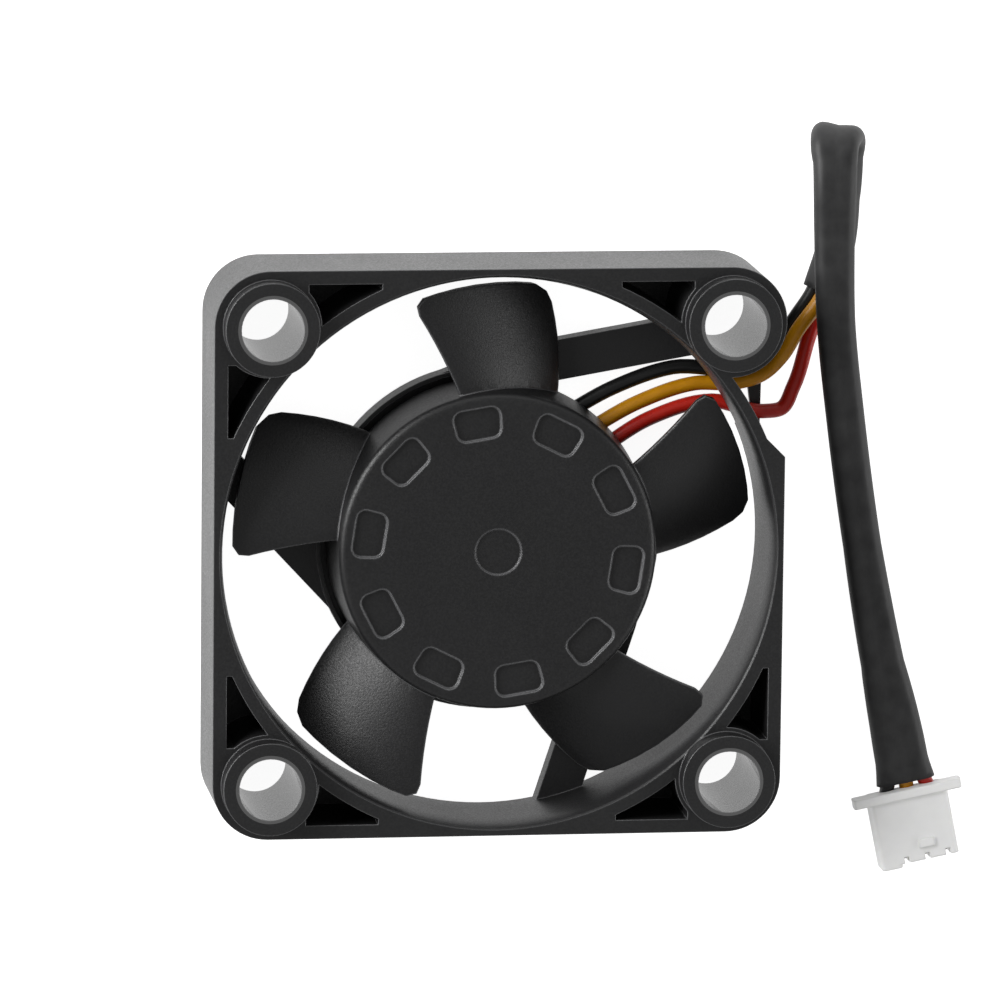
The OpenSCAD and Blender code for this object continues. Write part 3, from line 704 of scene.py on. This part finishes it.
def wound_wire(name, dark, pale):
    """Enamelled copper in even turns about a quarter of a millimetre apart."""
    skin = new_finish(name)
    turns = skin.node("ShaderNodeTexWave", {"bands_direction": "DIAGONAL"},
                      {"Vector": skin.place(), "Scale": 1500.0, "Distortion": 0.6})
    return skin.surface(
        Base_Color=skin.blend(turns, dark, pale),
        Metallic=1.0,
        Roughness=0.3 + turns * 0.12,
        Normal=skin.bump(turns, 0.6, 0.05 * MM),
    )


print("recipes: worked metal, dull solid and wound wire")

# %% [markdown]
# ## A table of inner finishes
#
# With the recipes written, a finish is one row of numbers. The solids already say
# what they are made of in the names of their material slots, so each slot is given
# the finish whose name it starts with.

# %% Finishes of the inner pieces
# Each dull solid: dark colour, pale colour, roughness, grain size and depth in mm
dull = {
    "label_film": ((0.016, 0.016, 0.017), (0.024, 0.024, 0.025), 0.38, 0.2, 0.006),
    "low_friction_plastic": ((0.6, 0.57, 0.48), (0.7, 0.67, 0.58), 0.4, 0.2, 0.01),
    "board_laminate": ((0.012, 0.09, 0.035), (0.02, 0.14, 0.055), 0.35, 0.15, 0.01),
    "chip_epoxy": ((0.012, 0.012, 0.013), (0.025, 0.025, 0.026), 0.55, 0.06, 0.01),
    "chip_ceramic": ((0.4, 0.28, 0.16), (0.5, 0.36, 0.22), 0.45, 0.1, 0.01),
    "insulator_nylon": ((0.68, 0.67, 0.6), (0.78, 0.77, 0.7), 0.42, 0.15, 0.01),
    "bonded_ferrite": ((0.03, 0.028, 0.027), (0.055, 0.052, 0.05), 0.6, 0.08, 0.015),
}
# Each metal: dark colour, pale colour, roughness, and how its working lines are stretched
metals = {
    "turned_brass": ((0.62, 0.43, 0.17), (0.78, 0.58, 0.27), 0.28, (1, 1, 8)),
    "sintered_bronze": ((0.36, 0.22, 0.12), (0.5, 0.33, 0.19), 0.46, (3, 3, 3)),
    "electrical_steel": ((0.34, 0.35, 0.37), (0.5, 0.51, 0.53), 0.38, (0.3, 0.3, 9)),
    "solder": ((0.55, 0.56, 0.58), (0.7, 0.71, 0.73), 0.3, (2, 2, 2)),
    "ground_steel": ((0.52, 0.53, 0.55), (0.66, 0.67, 0.69), 0.2, (1, 1, 10)),
    "tinned_contact": ((0.6, 0.59, 0.54), (0.74, 0.73, 0.67), 0.26, (4, 1, 1)),
}
copper = wound_wire("enamelled copper", (0.42, 0.12, 0.04), (0.8, 0.36, 0.16))
inner_finishes = {"enamelled_copper": copper}
for name, (dark, pale, roughness, grain, depth) in dull.items():
    inner_finishes[name] = dull_solid(name + " finish", dark, pale, roughness, grain * MM, depth * MM)
for name, (dark, pale, roughness, stretch) in metals.items():
    inner_finishes[name] = worked_metal(name + " finish", dark, pale, roughness, stretch)

shown = 0
for node in nodes.values():
    for held in node.material_slots:
        slot_name = held.material.name if held.material else ""
        match = next((key for key in inner_finishes if slot_name.startswith(key)), None)
        if match:
            held.material = inner_finishes[match]
            shown += 1
print("inner finishes:", len(inner_finishes), "on", shown, "material slots")

# %% [markdown]
#

# %% [markdown]
# ## The floor
#
# The fan lies on a white sweep. A white floor lit to full white would also flood the
# fan with light, so the floor is a plain pale paint, and for the camera and for
# mirror-like reflections alone it gives off light of its own.


# %% Floor
def sweep_paint(name, own_light, mirrored_light):
    paint = new_finish(name)
    fibre = paint.noise(40, 2.0)
    shade = paint.blend(fibre, (0.88, 0.88, 0.88), (0.9, 0.9, 0.9))
    plain = paint.node("ShaderNodeBsdfDiffuse", {}, {"Color": shade})
    seen = paint.node("ShaderNodeLightPath", out="Is Camera Ray")
    mirrored = paint.node("ShaderNodeLightPath", out="Is Glossy Ray")
    through = paint.node("ShaderNodeLightPath", out="Is Transmission Ray")
    strength = seen * own_light + (mirrored + through) * mirrored_light
    glow = paint.node("ShaderNodeEmission", {}, {"Color": (1, 1, 1, 1), "Strength": strength})
    both = paint.node("ShaderNodeAddShader", {}, {0: plain, 1: glow})
    paint.node("ShaderNodeOutputMaterial", {}, {"Surface": both})
    return paint.owner


floor_data = bpy.data.meshes.new("floor")
reach = 3.0
under = -0.05 * MM
floor_data.from_pydata([(-reach, -reach, under), (reach, -reach, under), (reach, reach, under),
                        (-reach, reach, under)], [], [(0, 1, 2, 3)])
floor_data.materials.append(sweep_paint("sweep", own_light=0.92, mirrored_light=0.5))
floor = bpy.data.objects.new("floor", floor_data)
scene.collection.objects.link(floor)
print("floor:", reach * 2, "m square")

# %% [markdown]
# ## The light
#
# Lamps are large and soft, and they stand low at the sides, which leaves the upward
# faces dark and runs a bright line along each rounded edge. The room around is
# paler near the horizon than overhead, so the side walls stand out from the top.


# %% Lamps and surroundings
def soft_lamp(name, place, width, height, power):
    """A rectangular lamp that faces the fan."""
    lamp = bpy.data.objects.new(name, bpy.data.lights.new(name, "AREA"))
    lamp.data.shape = "RECTANGLE"
    lamp.data.size = width
    lamp.data.size_y = height
    lamp.data.energy = power
    lamp.location = place
    lamp.rotation_euler = (-lamp.location).to_track_quat("-Z", "Y").to_euler()
    scene.collection.objects.link(lamp)


# Each lamp: place, width and height in metres, and power in watts
lamps = {
    "left card": ((-0.75, 0.35, 0.42), 0.7, 0.5, 9),
    "right card": ((0.8, -0.1, 0.35), 0.7, 0.4, 2),
    "back card": ((0.1, 0.85, 0.4), 0.8, 0.4, 0.5),
}
for name, lamp in lamps.items():
    soft_lamp(name, *lamp)

horizon_light = 0.7
overhead_light = 0.28
world = bpy.data.worlds.new("studio")
scene.world = world
sky = Finish(world)
around_us = sky.node("ShaderNodeTexCoord", out="Generated")
height = sky.node("ShaderNodeSeparateXYZ", {}, {0: around_us}, out=2)
level = sky.spread(height, 0.05, 0.75, horizon_light, overhead_light)
room = sky.node("ShaderNodeBackground", {}, {"Color": (1, 1, 1, 1), "Strength": level})
sky.node("ShaderNodeOutputWorld", {}, {"Surface": room})
print("lamps:", len(lamps), "and a room that is paler near the horizon")
